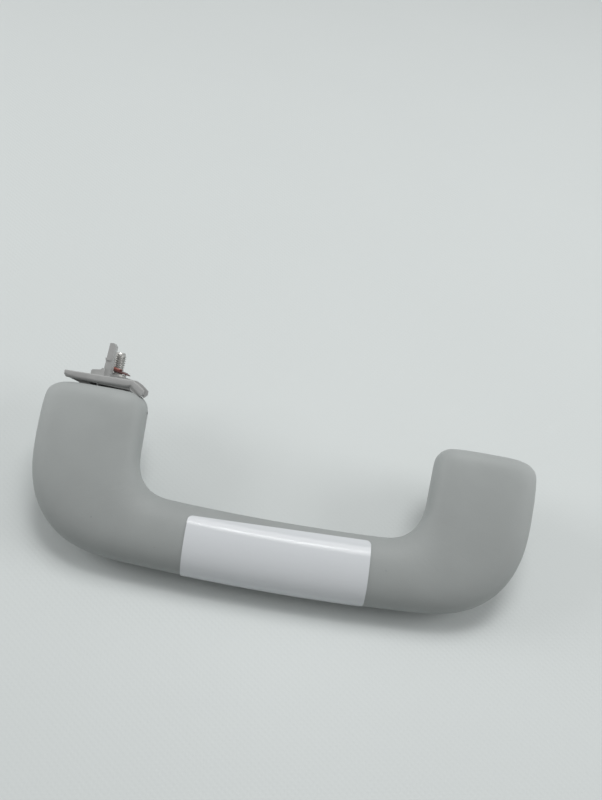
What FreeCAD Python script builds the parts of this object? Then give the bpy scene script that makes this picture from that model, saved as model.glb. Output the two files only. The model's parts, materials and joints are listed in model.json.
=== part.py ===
import FreeCAD, Part
import math
import os
import Sketcher
from FreeCAD import Placement, Rotation, Vector

# Roof grab handle of a car, taken off the roof: a moulded U with a hinged bracket at each leg end.
# It is modelled as it lies on a table. The right bracket is sprung shut behind its leg and props
# the legs up. The left one has swung out to its stop, in line with its leg.
#
# Handle frame: X along the grip to the right, Y from the grip's outer edge towards the leg ends,
# Z out of the front face, with Z zero at the middle of the leg's depth.
# Bracket frame: X along the hinge, Y to the handle's back, Z along the bolt, zero on the hinge.

doc = FreeCAD.newDocument("RoofGrabHandle")

# Driving dimensions

SIZES = (
    ("overall_width", 214.6, "across the outer faces of both legs"),
    ("overall_height", 72.4, "from the grip's outer edge to the leg ends"),
    ("grip_height", 29.2, "height of the grip at its middle, seen from the front"),
    ("gap_width", 125.2, "clear width between the legs above the inner corners"),
    ("leg_splay", 0.6, "how far each leg's inner face leans out up to its end"),
    ("front_depth", 12.5, "front face in front of the middle of the leg's depth"),
    ("leg_back", 12.5, "back of the legs behind that middle"),
    ("grip_back", 9.5, "back of the grip behind that middle, less than the legs for the fingers"),
    ("outer_corner_width", 50.5, "outer corner, along the grip"),
    ("outer_corner_height", 52.5, "outer corner, along the leg"),
    ("inner_corner_width", 18.6, "inner corner, along the grip"),
    ("inner_corner_height", 19.8, "inner corner, along the leg"),
    ("outer_crown", 1.5, "bow of the grip's outer edge"),
    ("inner_crown", 1.0, "bow of the grip's inner edge"),
    ("end_round", 8.5, "rounding of the leg ends"),
    ("end_taper", 6, "how far the leg's outer face turns in at its end"),
    ("bracket_spacing", 166.2, "between the middles of the two brackets"),
    ("hinge_inset", 8.6, "hinge axis in from the leg end"),
    ("hinge_sink", 2.3, "hinge axis behind the middle of the leg's depth"),
    ("pocket_width", 24.4, "hinge pocket, along the hinge"),
    ("pocket_floor", 8.6, "hinge axis to the pocket's floor"),
    ("pocket_front", 8.3, "hinge axis to the pocket's front wall"),
    ("recess_floor", 23, "hinge axis to the end of the recess for the screw cap"),
    ("recess_roof", 5, "hinge axis to the roof of that recess, towards the back"),
    ("slot_width", 2.6, "slot in the pocket's floor that holds the damper's key or the spring's leg"),
    ("slot_length", 9.8, "length of that slot along the hinge"),
    ("slot_depth", 1.6, "depth of that slot"),
    ("slot_height", 4.3, "middle of that slot in front of the hinge axis"),
    ("pin_diameter", 4, "steel hinge pin"),
    ("pin_length", 40, "steel hinge pin"),
    ("left_pin_inset", 1.9, "left pin's inner end from the line of the leg's inner face"),
    ("right_pin_inset", 3.8, "right pin's inner end from that line, which it goes in from outside"),
    ("pin_mouth", 5, "diameter of the mouth that the pin goes in by"),
    ("pin_play", 0.05, "radial clearance of the bracket on its pin"),
    ("pin_grip", 0.02, "radial clearance of the pin in the handle"),
    ("open_angle", 101, "swing of a bracket from shut to its open stop"),
    ("lug_spread", 10.8, "outer faces of the lugs from the bracket's middle"),
    ("lug_thickness", 4.6, "each hinge lug"),
    ("lug_radius", 5.2, "round end of a lug"),
    ("web_front", 4.2, "lug web's reach to the front where it meets the plate"),
    ("web_back", 7.5, "the same to the back"),
    ("plate_under", 10.6, "hinge axis to the lower edge of the plate's rim"),
    ("plate_outer_top", 14.5, "hinge axis to the plate's top at its outer tip"),
    ("plate_inner_top", 14.9, "hinge axis to the plate's top at the lip"),
    ("plate_outer_reach", 17.3, "outer tip of the plate from the bracket's middle"),
    ("plate_inner_reach", 10.5, "inner edge of a plate without a lip from the bracket's middle"),
    ("plate_front", 8, "front edge of the plate from the hinge axis"),
    ("plate_back", 21.5, "back edge of the plate from the hinge axis"),
    ("plate_skin", 1.9, "thickness of the plate over its hollow underside"),
    ("plate_corner", 2, "rounding of the plate's corners, seen from above"),
    ("rim_wall", 1.8, "thickness of the rim round the hollow underside"),
    ("lip_bend", 12.7, "bend of the lip from the bracket's middle"),
    ("lip_drop", 6.8, "lowest edge of the lip below the plate's top"),
    ("lip_slant", 0.2, "how much the lip runs inwards for each millimetre towards the back"),
    ("lip_back", 6, "back end of the lip from the hinge axis"),
    ("tab_tip", 29.5, "hinge axis to the tip of the locating tab"),
    ("tab_width", 3.2, "foot of the locating tab, along the hinge"),
    ("tab_tip_width", 2.5, "tip of the locating tab, along the hinge"),
    ("tab_depth", 5, "locating tab, front to back"),
    ("tab_front", 1.4, "front face of the tab behind the hinge axis"),
    ("tab_offset", 3.3, "outer face of the tab's foot from the bracket's middle"),
    ("tab_lean", 4, "lean of the tab's outer face inwards, in degrees"),
    ("tab_step", 22.3, "hinge axis to the step in the tab"),
    ("bolt_back", 13, "bolt behind the hinge axis"),
    ("bolt_lean", 1.5, "lean of the bolt inwards, in degrees"),
    ("bolt_diameter", 6, "thread of the bolt"),
    ("bolt_neck", 0.4, "how far the bolt's neck below the thread is set in"),
    ("bolt_tip", 26.4, "hinge axis to the bolt's tip"),
    ("bolt_seat", 13, "hinge axis to the seat under the bolt's head"),
    ("head_diameter", 11.5, "bolt head"),
    ("head_height", 3.2, "bolt head"),
    ("hex_size", 5, "hexagon socket across its flats"),
    ("hex_depth", 2.2, "hexagon socket"),
    ("sleeve_diameter", 9, "steel sleeve round the bolt, outside"),
    ("sleeve_bore", 6.6, "steel sleeve round the bolt, inside"),
    ("sleeve_length", 3.8, "steel sleeve round the bolt"),
    ("retainer_diameter", 12.8, "domed washer that keeps the bolt in the bracket"),
    ("retainer_thickness", 0.8, "that washer"),
    ("retainer_dome", 0.4, "how far its rim hangs below its seat"),
    ("retainer_collar", 1.6, "height of its collar round the thread"),
    ("well_diameter", 13.2, "well for the bolt head in the bracket's underside"),
    ("well_wall", 1.6, "wall of that well"),
    ("well_mouth", 5, "mouth of the well below the head's seat"),
    ("cap_thickness", 1.2, "screw cap"),
    ("cap_skirt", 1.1, "how far the cap's ring goes up into the well"),
    ("pad_front", 6.6, "front of the pad round the bolt behind the hinge axis"),
    ("pad_outer_reach", 6.5, "pad's reach towards the outer tip"),
    ("pad_inner_reach", 9.2, "pad's reach towards the inner edge"),
    ("pad_back", 20, "back of that pad behind the hinge axis"),
    ("damper_diameter", 11.2, "damper housing"),
    ("damper_bore", 9, "damper housing, inside"),
    ("damper_length", 10.2, "damper housing"),
    ("damper_wall", 1.2, "end wall of the damper housing"),
    ("rotor_diameter", 8.2, "damper rotor"),
    ("tongue_width", 1.8, "tongue of the rotor in the bracket's lug"),
    ("tongue_depth", 1.5, "how far that tongue goes into the lug"),
    ("bush_diameter", 6.6, "bush inside the return spring"),
    ("bush_length", 12, "bush inside the return spring"),
    ("spring_diameter", 8.8, "return spring, to the middle of the wire"),
    ("spring_wire", 1.2, "wire of the return spring"),
    ("spring_pitch", 1.5, "return spring, from coil to coil"),
    ("spring_turns", 5, "whole turns of the return spring"),
    ("label_width", 76, "sticker on the grip"),
    ("label_height", 27.5, "sticker on the grip"),
    ("label_thickness", 0.2, "sticker on the grip"),
    ("label_glue", 0.1, "layer of glue under the sticker"),
    ("label_offset", 2.6, "middle of the sticker from the middle of the grip"),
    ("label_turn", 1.9, "how far the sticker is turned, in degrees"),
    ("label_corner", 2, "corner radius of the sticker"),
)


class Term:
    """A size that carries its number and its spreadsheet formula together."""

    def __init__(self, number, text=None):
        self.number = float(number)
        self.text = text if text else "(" + repr(float(number)) + ")"

    def _join(self, other, sign, number):
        return Term(number, "(" + self.text + " " + sign + " " + other.text + ")")

    def __add__(self, other):
        other = term(other)
        return self._join(other, "+", self.number + other.number)

    def __sub__(self, other):
        other = term(other)
        return self._join(other, "-", self.number - other.number)

    def __mul__(self, other):
        other = term(other)
        return self._join(other, "*", self.number * other.number)

    def __truediv__(self, other):
        other = term(other)
        return self._join(other, "/", self.number / other.number)

    def __radd__(self, other):
        return term(other) + self

    def __rsub__(self, other):
        return term(other) - self

    def __rmul__(self, other):
        return term(other) * self

    def __neg__(self):
        return term(0) - self

    def __float__(self):
        return self.number


def term(value):
    return value if isinstance(value, Term) else Term(value)


def tangent(angle):
    """The tangent of a size in degrees."""
    return Term(math.tan(math.radians(float(angle))), "tan(" + angle.text + " * 1deg)")


def root(value):
    """The square root of a size."""
    return Term(math.sqrt(float(value)), "sqrt(" + value.text + ")")


class Sizes:
    """The driving dimensions, each read back from its cell as a Term."""

    def __init__(self, rows):
        self.sheet = doc.addObject("Spreadsheet::Sheet", "Dims")
        for row, (alias, number, words) in enumerate(rows, start=1):
            self.sheet.set("A" + str(row), words)
            self.sheet.set("B" + str(row), str(number))
            self.sheet.setAlias("B" + str(row), alias)
        doc.recompute()
        for alias, _, _ in rows:
            setattr(self, alias, Term(self.sheet.get(alias), "Dims." + alias))


d = Sizes(SIZES)
half_width = d.overall_width / 2
hinge_y = d.overall_height - d.hinge_inset
pin_radius = d.pin_diameter / 2
bracket_x = d.bracket_spacing / 2


# Helpers that make document objects with their sizes bound to the sheet

def bind(thing, path, value):
    thing.setExpression(path, term(value).text)


def make(kind, name):
    return doc.addObject(kind, name)


def box(name, low, high):
    thing = make("Part::Box", name)
    for side, axis, start, end in zip(("Length", "Width", "Height"), "xyz", low, high):
        bind(thing, side, term(end) - start)
        bind(thing, "Placement.Base." + axis, start)
    return thing


def rod(name, radius, start, length, y=0, z=0):
    """A cylinder along X."""
    thing = make("Part::Cylinder", name)
    bind(thing, "Radius", radius)
    bind(thing, "Height", length)
    thing.Placement = Placement(Vector(0, 0, 0), Rotation(Vector(0, 1, 0), 90))
    for axis, value in zip("xyz", (start, y, z)):
        bind(thing, "Placement.Base." + axis, value)
    return thing


def post(name, radius, start, length):
    """A cylinder along Z on the frame's own axis."""
    thing = make("Part::Cylinder", name)
    bind(thing, "Radius", radius)
    bind(thing, "Height", length)
    bind(thing, "Placement.Base.z", start)
    return thing


def draw(sketch, corners):
    """Closes the corners into one outline, each corner held by two bound distances."""
    count = len(corners)
    for here in range(count):
        a, b = corners[here], corners[(here + 1) % count]
        start = Vector(float(a[0]), float(a[1]), 0)
        end = Vector(float(b[0]), float(b[1]), 0)
        sketch.addGeometry(Part.LineSegment(start, end), False)
    for here in range(count):
        sketch.addConstraint(Sketcher.Constraint("Coincident", here, 2, (here + 1) % count, 1))
    for here, corner in enumerate(corners):
        for kind, letter, value in (("DistanceX", "u", corner[0]), ("DistanceY", "v", corner[1])):
            value = term(value)
            index = sketch.addConstraint(Sketcher.Constraint(kind, -1, 1, here, 1, float(value)))
            name = letter + str(here)
            sketch.renameConstraint(index, name)
            sketch.setExpression("Constraints." + name, value.text)


TURNS = {
    "XZ": Rotation(Vector(1, 0, 0), 90),
    "YZ": Rotation(Vector(1, 1, 1), 120),
}


def slab(name, plane, corners, start, end, slant=None):
    """An outline in the XZ or YZ plane, drawn out along Y or X from start to end. With a slant
    it also shifts along X by that much for each millimetre along Y."""
    sketch = make("Sketcher::SketchObject", name + "_outline")
    sketch.Placement = Placement(Vector(0, 0, 0), TURNS[plane])
    draw(sketch, corners)
    solid = make("Part::Extrusion", name)
    solid.Base = sketch
    solid.DirMode = "Custom"
    solid.Dir = Vector(0, 1, 0) if plane == "XZ" else Vector(1, 0, 0)
    solid.Solid = True
    stretch = term(1)
    if slant is not None:
        solid.Dir = Vector(float(slant), 1, 0)
        bind(solid, "Dir.x", slant)
        stretch = root(1 + slant * slant)
    bind(solid, "LengthFwd", end * stretch)
    bind(solid, "LengthRev", -term(start) * stretch)
    return solid


def fuse(name, parts):
    thing = make("Part::MultiFuse", name)
    thing.Shapes = parts
    return thing


def cut(name, base, tools):
    thing = make("Part::Cut", name)
    thing.Base = base
    thing.Tool = tools[0] if len(tools) == 1 else fuse(name + "_tools", tools)
    return thing


def round_edges(name, base, chosen):
    """Fillets the base along the edges that chosen picks, each with the radius it gives."""
    doc.recompute()
    picks = []
    for index, edge in enumerate(base.Shape.Edges, start=1):
        radius = chosen(edge)
        if radius:
            picks.append((index, float(radius), float(radius)))
    thing = make("Part::Fillet", name)
    thing.Base = base
    thing.Edges = picks
    return thing


def turned(name, plane, corners):
    """A PartDesign body turned from one half section, about the axis of the plane's lengths."""
    body = make("PartDesign::Body", name)
    sketch = body.newObject("Sketcher::SketchObject", name + "_section")
    origin_plane = [f for f in body.Origin.OriginFeatures if f.Role == plane + "_Plane"][0]
    sketch.AttachmentSupport = [(origin_plane, "")]
    sketch.MapMode = "FlatFace"
    draw(sketch, corners)
    turn = body.newObject("PartDesign::Revolution", name + "_turn")
    turn.Profile = sketch
    turn.ReferenceAxis = (sketch, ["H_Axis"] if plane == "XY" else ["V_Axis"])
    turn.Angle = 360
    return body


# Handle body

SECTION_POINTS = 28
GRIP_SHARES = (0, 0.3, 0.65)
FAN_STEPS = 7
OUTER_POWER = 2.6
INNER_POWER = 2.35
GRIP_POWER = 2.15
LEG_POWER = 3.2
END_ROUNDING = ((0.04, 0.45), (0.35, 0.05), (0.7, 0), (1, 0))


class Station:
    """One section of the right half: its inner and outer point, its place between grip and leg
    from 0 to 1, and how far it is drawn in where the leg end rounds over."""

    def __init__(self, inner, outer, up, inset=0.0):
        self.inner = inner
        self.outer = outer
        self.up = up
        self.inset = inset


def quarter(angle, power):
    """Sine and cosine legs of a superellipse quarter at this angle."""
    share = 2 / power
    return math.sin(angle) ** share, math.cos(angle) ** share


def stations():
    """The right half's sections, from the middle of the grip round the corner to the leg end."""
    corner_out = float(half_width - d.outer_corner_width)
    corner_in = float(d.gap_width / 2 - d.inner_corner_width)
    inner_low = float(d.grip_height + d.inner_crown)
    outer_top = float(d.outer_crown + d.outer_corner_height)
    inner_top = inner_low + float(d.inner_corner_height)
    found = []
    for share in GRIP_SHARES:
        bow = share ** 2
        inner = (share * corner_in, float(d.grip_height) + bow * float(d.inner_crown))
        found.append(Station(inner, (share * corner_out, bow * float(d.outer_crown)), 0.0))
    for step in range(FAN_STEPS + 1):
        angle = math.radians(90 * step / FAN_STEPS)
        s_in, c_in = quarter(angle, INNER_POWER)
        s_out, c_out = quarter(angle, OUTER_POWER)
        inner = (corner_in + float(d.inner_corner_width) * s_in,
                 inner_top - float(d.inner_corner_height) * c_in)
        outer = (corner_out + float(d.outer_corner_width) * s_out,
                 outer_top - float(d.outer_corner_height) * c_out)
        found.append(Station(inner, outer, step / FAN_STEPS))
    end = float(d.overall_height)
    turn = float(d.end_round)
    inner_x = float(d.gap_width / 2 + d.leg_splay)
    outer_x = float(half_width)
    before = (end - turn + max(end - turn, outer_top)) / 2
    found.append(Station((inner_x, end - turn), (outer_x, before), 1.0))
    for inset, drop in END_ROUNDING:
        y = end - drop * turn
        outer = (outer_x - inset * float(d.end_taper), y)
        found.append(Station((inner_x, y), outer, 1.0, inset * turn))
    return found


def smooth(share):
    return share * share * (3 - 2 * share)


def section_points(station, side, grow=0.0):
    """Control points of one section: a superellipse between the inner and the outer point."""
    blend = smooth(station.up)
    power = GRIP_POWER + (LEG_POWER - GRIP_POWER) * blend
    back = float(d.grip_back) + float(d.leg_back - d.grip_back) * blend
    front = float(d.front_depth)
    inner = Vector(station.inner[0], station.inner[1], (front - back) / 2)
    outer = Vector(station.outer[0], station.outer[1], (front - back) / 2)
    across = (inner - outer) / 2
    width = across.Length + grow - station.inset
    depth = (front + back) / 2 + grow - station.inset
    middle = (inner + outer) / 2
    across.normalize()
    found = []
    for number in range(SECTION_POINTS):
        angle = 2 * math.pi * number / SECTION_POINTS
        c, s = math.cos(angle), math.sin(angle)
        a = math.copysign(abs(c) ** (2 / power), c) * width
        b = math.copysign(abs(s) ** (2 / power), s) * depth
        point = middle + across * a + Vector(0, 0, b)
        found.append(Vector(side * point.x, point.y, point.z))
    return found


def moulded(name, chosen, grow=0.0):
    """A solid under one smooth cubic surface, whose control points are the sections' points."""
    half = stations()[:chosen]
    rows = [section_points(station, -1, grow) for station in reversed(half[1:])]
    rows += [section_points(station, 1, grow) for station in half]
    along, around = len(rows), SECTION_POINTS
    surface = Part.BSplineSurface()
    surface.buildFromPolesMultsKnots(
        rows,
        [4] + [1] * (along - 4) + [4], [1] * (around + 1),
        list(range(along - 2)), list(range(around + 1)),
        False, True, 3, 3)
    skin = surface.toShape()
    caps = [Part.Face(Part.Wire(edge)) for edge in skin.Edges if edge.isClosed() and is_flat(edge)]
    closed = Part.makeCompound([skin] + caps)
    closed.sewShape()
    solid = Part.makeSolid(closed.Shells[0])
    if solid.Volume < 0:
        solid.reverse()
    thing = make("Part::Feature", name)
    thing.Shape = solid
    return thing


def is_flat(edge):
    """True for the rim of an end section, which lies in one plane."""
    return Part.Wire(edge).findPlane() is not None


def pocket_tools(side, number):
    """What is cut from one leg: the hinge pocket, the cap's recess, the pin's bore and a slot."""
    tag = str(number)
    low = side * bracket_x - d.pocket_width / 2
    high = side * bracket_x + d.pocket_width / 2
    floor = hinge_y - d.pocket_floor
    front = d.pocket_front - d.hinge_sink
    roof = -d.hinge_sink - d.recess_roof
    open_back = -d.leg_back - 5
    open_end = d.overall_height + 5
    recess = hinge_y - d.recess_floor
    outline = [(recess, open_back), (recess, roof), (floor, roof),
               (floor, front), (open_end, front), (open_end, open_back)]
    pocket = slab("pocket_" + tag, "YZ", outline, low, high)
    inset = d.left_pin_inset if side < 0 else d.right_pin_inset
    bore_start = d.gap_width / 2 + inset
    bore_end = bore_start + d.pin_length
    mouth_start, mouth_end = bore_start - 5, bore_start
    if side > 0:
        mouth_start, mouth_end = bore_end, bore_end + 5
    else:
        bore_start, bore_end = -bore_end, -bore_start
        mouth_start, mouth_end = -mouth_end, -mouth_start
    bore = rod("pin_bore_" + tag, pin_radius + d.pin_grip, bore_start,
               bore_end - bore_start, hinge_y, -d.hinge_sink)
    mouth = rod("pin_mouth_" + tag, d.pin_mouth / 2, mouth_start,
                mouth_end - mouth_start, hinge_y, -d.hinge_sink)
    slot_z = d.slot_height - d.hinge_sink
    slot = box("slot_" + tag,
               (side * bracket_x - d.slot_length / 2, floor - d.slot_depth,
                slot_z - d.slot_width / 2),
               (side * bracket_x + d.slot_length / 2, floor + 1, slot_z + d.slot_width / 2))
    return [pocket, bore, mouth, slot]


def handle_body():
    tools = pocket_tools(-1, 1) + pocket_tools(1, 2)
    return cut("handle_body", moulded("moulding", None), tools)


def label():
    """A sticker that follows the front of the grip and turns under its outer edge."""
    straight = len(GRIP_SHARES) + 2
    skin = moulded("sticker_skin", straight, float(d.label_glue + d.label_thickness))
    core = moulded("sticker_core", straight, float(d.label_glue))
    reach_y = d.label_height / 2
    blank = box("sticker_blank", (-d.label_width / 2, -reach_y, d.front_depth / 2 - 4),
                (d.label_width / 2, reach_y, d.front_depth + 5))

    def upright(edge):
        return d.label_corner if edge.BoundBox.ZLength > 5 else 0

    plain = round_edges("sticker_corners", blank, upright)
    turn = Rotation(Vector(0, 0, 1), float(d.label_turn))
    plain.Placement = Placement(Vector(float(d.label_offset), float(reach_y) - 1.2, 0), turn)
    sheet = make("Part::Common", "sticker_sheet")
    sheet.Base = skin
    sheet.Tool = plain
    return cut("label", sheet, [core])


# Brackets

def bracket(side):
    """One hinged bracket. Side is 1 on the right and -1 on the left, and inwards is -side."""
    tag = "right" if side > 0 else "left"
    inwards = -side

    def name(word):
        return tag + "_" + word

    def along(value):
        return inwards * term(value)

    def span(a, b):
        return (along(a), along(b)) if inwards > 0 else (along(b), along(a))

    def shape(word, corners, start, end):
        return slab(name(word), "XZ", [(along(u), v) for u, v in corners], start, end)

    outer = -d.plate_outer_reach
    hollow_end = d.lug_spread - d.lug_thickness
    ceiling = d.plate_outer_top - d.plate_skin
    plate = shape("plate", [
        (outer, d.plate_outer_top - d.plate_skin),
        (outer + 0.2, d.plate_outer_top),
        (d.plate_inner_reach, d.plate_inner_top),
        (d.plate_inner_reach, d.plate_under),
        (outer + 1, d.plate_under + 0.9),
    ] if side > 0 else [
        (outer, d.plate_outer_top - d.plate_skin),
        (outer + 0.2, d.plate_outer_top),
        (hollow_end, d.plate_inner_top - 0.1),
        (hollow_end, d.plate_under),
        (outer + 1, d.plate_under + 0.9),
    ], -d.plate_front, d.plate_back)

    def upright(edge):
        reach = edge.BoundBox
        tip = abs(abs(reach.Center.x) - float(d.plate_outer_reach)) < 0.7
        return float(d.plate_corner) if tip and reach.YLength < 0.01 and reach.ZLength > 1.5 else 0

    plate = round_edges(name("plate_corners"), plate, upright)
    wall = d.rim_wall
    low = d.plate_under - 3
    hollow = shape("hollow", [
        (wall + outer + 0.6, low),
        (wall + outer + 0.6, ceiling),
        (hollow_end - 0.01, ceiling),
        (hollow_end - 0.01, low),
    ], wall - d.plate_front, d.plate_back - wall)
    added = [cut(name("tray"), plate, [hollow])]
    if side < 0:
        added += lip(name, along)

    # Two lugs carry the plate on the pin, each with a web that widens up to the plate.
    web_top = d.plate_outer_top - 0.5
    web = [(-d.lug_radius, 0), (-d.web_front, web_top), (d.web_back, web_top), (d.lug_radius, 0)]
    for word, start in (("outer", -d.lug_spread), ("inner", d.lug_spread - d.lug_thickness)):
        a, b = span(start, start + d.lug_thickness)
        added.append(rod(name(word + "_lug"), d.lug_radius, a, b - a))
        added.append(slab(name(word + "_web"), "YZ", web, a, b))
    haunch = d.plate_under - 0.5
    added.append(shape("haunch", [
        (outer + 0.8, d.plate_under + 1),
        (-d.lug_spread - 0.4, haunch),
        (-d.lug_spread, haunch),
        (-d.lug_spread, d.plate_under + 1),
    ], 1.2 - d.web_front, d.web_back - 0.5))

    # Locating tab with its step and nub, and a small block at its foot.
    lean = tangent(d.tab_lean)
    foot = d.plate_under + 1.6
    base = -d.tab_offset
    tip = d.tab_tip
    step = d.tab_step
    right = base + d.tab_width
    right_tip = right + (tip - foot) * lean - (d.tab_width - d.tab_tip_width)

    def leaning(u, v):
        return (u + (v - foot) * lean, v)

    tab = shape("tab", [
        leaning(base, foot),
        leaning(base, step - 0.5),
        leaning(base - 0.6, step + 0.2),
        leaning(base, step + 0.5),
        leaning(base, tip - 0.3),
        leaning(base + 0.3, tip),
        (right_tip - 0.9, tip),
        (right_tip, tip - 1.1),
        (right, foot),
    ], d.tab_front, d.tab_front + d.tab_depth)
    top = d.plate_inner_top
    block = shape("block", [
        (base - 4.8, foot),
        (base - 4.8, top + 1.3),
        (base - 4.3, top + 1.8),
        (base - 0.8, top + 2.3),
        (base - 0.2, top + 3.1),
        (base + 1, top + 3.1),
        (base + 1, foot),
    ], d.tab_front - 0.6, d.tab_front + d.tab_depth)

    # Pad round the bolt that runs out down the plate. The washer clears it.
    pad_top = d.bolt_seat + d.sleeve_length - 0.7
    pad = shape("pad", [
        (-d.pad_outer_reach, foot),
        (-d.pad_outer_reach, pad_top - 0.7),
        (3.5 - d.pad_outer_reach, pad_top),
        (0.5, pad_top),
        (d.pad_inner_reach, d.plate_inner_top - 0.1),
        (d.pad_inner_reach, foot),
    ], d.pad_front, d.pad_back)
    added += [tab, block, pad]

    leaned = Rotation(Vector(0, 1, 0), inwards * float(d.bolt_lean))
    seat = Vector(0, float(d.bolt_back), float(d.bolt_seat))
    well = post(name("well_wall"), d.well_diameter / 2 + d.well_wall, -d.well_mouth,
                d.well_mouth + 1.2)
    well_group = make("Part::Compound", name("well_boss"))
    well_group.Links = [well]
    well_hole = post(name("well_hole"), d.well_diameter / 2, -d.well_mouth - 2, d.well_mouth + 2)
    sleeve_hole = post(name("sleeve_hole"), d.sleeve_diameter / 2, -1, d.sleeve_length + 4)
    hole_group = fuse(name("bolt_holes"), [well_hole, sleeve_hole])
    for group in (well_group, hole_group):
        group.Placement = Placement(seat, leaned)
    added.append(well_group)

    solid = fuse(name("blank"), added)
    bore = rod(name("pin_hole"), pin_radius + d.pin_play, -d.lug_spread - 1, 2 * d.lug_spread + 2)
    tools = [hole_group, bore]
    if side < 0:
        a, b = span(d.lug_spread - d.lug_thickness - 1,
                    d.lug_spread - d.lug_thickness + d.tongue_depth + 0.1)
        half_slot = d.tongue_width / 2 + 0.05
        tools.append(box(name("tongue_slot"), (a, -d.rotor_diameter / 2 - 0.1, -half_slot),
                         (b, d.rotor_diameter / 2 + 0.1, half_slot)))
    return cut(name("bracket"), solid, tools)


def lip(name, along):
    """The left plate's inner part: its edge, the bent lip, and the rim that runs out under it."""
    top, under = d.plate_inner_top, d.plate_under
    start = d.lug_spread - d.lug_thickness - 1.5
    bend = d.lip_bend
    low = top - d.lip_drop
    slant = -along(d.lip_slant)

    def part(word, corners, end):
        return slab(name(word), "XZ", [(along(u), v) for u, v in corners],
                    -d.plate_front, end, slant)

    edge = part("plate_edge", [
        (start, top - d.plate_skin - 0.3),
        (start, top - 0.1),
        (bend, top),
        (bend + 2.9, top - 1.4),
        (bend + 1.7, top - 2.9),
        (bend - 2.2, top - d.plate_skin - 0.6),
    ], d.plate_back)
    bent = part("lip", [
        (bend, top - 1),
        (bend + 2.9, top - 1.4),
        (bend + 5.7, top - 3.6),
        (bend + 5.6, top - 5.3),
        (bend + 4.2, low),
        (bend + 3.3, low + 0.6),
        (bend + 0.8, top - 4.4),
        (bend - 1.2, top - 3.1),
    ], d.lip_back)
    rim = part("lip_rim", [
        (start, top - 1),
        (start, under),
        (bend - 3.7, under),
        (bend + 2, low + 1.1),
        (bend + 2.8, low + 1.5),
        (bend - 3, under + 1.2),
        (bend - 3, top - 1),
    ], d.rim_wall - d.plate_front)
    return [edge, bent, rim]


# Turned and fastened pieces of each side

def hinge_pin(name):
    r = pin_radius
    chamfer = 0.4
    return turned(name, "XY", [
        (0, 0), (0, r - chamfer), (chamfer, r), (d.pin_length - chamfer - 0.1, r),
        (d.pin_length - 0.1, r - chamfer), (d.pin_length - 0.1, 0)])


def bolt(name):
    """Bolt in the bolt's own frame, with Z zero at the seat of its head. Its thread is plain."""
    tip = d.bolt_tip - d.bolt_seat
    r = d.bolt_diameter / 2
    neck = r - d.bolt_neck
    thread = d.sleeve_length + d.retainer_collar
    head = d.head_diameter / 2
    body = turned(name + "_blank", "XZ", [
        (0, -d.head_height), (head - 0.6, -d.head_height), (head, 0.6 - d.head_height),
        (head, 0), (neck, 0), (neck, thread), (r, thread), (r, tip - 1.6), (r - 0.9, tip),
        (0, tip)])
    hexagon = make("Part::Prism", name + "_socket")
    hexagon.Polygon = 6
    bind(hexagon, "Circumradius", d.hex_size / math.sqrt(3))
    bind(hexagon, "Height", d.hex_depth + 1)
    bind(hexagon, "Placement.Base.z", -d.head_height - 1)
    return cut(name, body, [hexagon])


def bolt_sleeve(name):
    inner, outer = d.sleeve_bore / 2, d.sleeve_diameter / 2
    return turned(name, "XZ", [
        (inner, 0), (outer, 0), (outer, d.sleeve_length), (inner, d.sleeve_length)])


def bolt_retainer(name):
    bore, outer = d.bolt_diameter / 2 - d.bolt_neck, d.retainer_diameter / 2
    low = d.sleeve_length
    top = low + d.retainer_thickness
    seat = d.sleeve_diameter / 2 + 0.1
    collar = bore + 0.9
    return turned(name, "XZ", [
        (bore, low), (seat, low), (outer, low - d.retainer_dome),
        (outer, top - d.retainer_dome - 0.2), (seat, top), (collar, top),
        (collar, low + d.retainer_collar), (bore, low + d.retainer_collar)])


def screw_cap(name):
    """Snap-in cap that closes the well below the bolt head."""
    low = -d.well_mouth - d.cap_thickness
    flange = d.well_diameter / 2 + d.well_wall - 0.3
    ring = d.well_diameter / 2 - 0.05
    top = -d.well_mouth
    return turned(name, "XZ", [
        (0, low), (flange - 0.5, low), (flange, low + 0.5), (flange, top), (ring, top),
        (ring, top + d.cap_skirt), (ring - 1.0, top + d.cap_skirt), (ring - 1.0, top), (0, top)])


# Damper of the left hinge

def damper_housing():
    """Fixed cup round the left pin, with a key in the pocket's slot."""
    start = -d.damper_length / 2 - 0.5
    end = start + d.damper_length
    bore, outer = d.damper_bore / 2, d.damper_diameter / 2
    hole = pin_radius + 0.1
    cup = turned("damper_cup", "XY", [
        (start, hole), (start, outer), (end, outer), (end, bore),
        (start + d.damper_wall, bore), (start + d.damper_wall, hole)])
    key_half = d.slot_width / 2 - 0.05
    key = box("damper_key",
              (0.1 - d.slot_length / 2, 0.1 - d.pocket_floor - d.slot_depth,
               d.slot_height - key_half),
              (d.slot_length / 2 - 0.1, -d.slot_height, d.slot_height + key_half))
    cleared = cut("damper_key_cleared", key, [rod("damper_key_bore", bore + 0.3, start, d.damper_length)])
    return fuse("damper_housing", [cup, cleared])


def damper_rotor():
    """Rotor inside the housing, with a tongue in the inner lug of the left bracket."""
    start = -d.damper_length / 2 - 0.5 + d.damper_wall + 0.2
    face = d.lug_spread - d.lug_thickness
    bore, outer = pin_radius + 0.1, d.rotor_diameter / 2
    drum = turned("rotor_drum", "XY", [
        (start, bore), (start, outer), (face - 0.2, outer), (face - 0.2, bore)])
    half = d.tongue_width / 2
    tongue = box("rotor_tongue", (face - 1, -outer, -half), (face + d.tongue_depth, outer, half))
    cleared = cut("rotor_tongue_bored", tongue, [rod("rotor_bore", bore, face - 2, d.tongue_depth + 3)])
    return fuse("damper_rotor", [drum, cleared])


# Return spring of the right hinge

def spring_bush():
    start = -d.bush_length / 2
    inner, outer = pin_radius + 0.05, d.bush_diameter / 2
    return turned("spring_bush", "XY", [
        (start, inner), (start, outer), (-start, outer), (-start, inner)])


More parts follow.
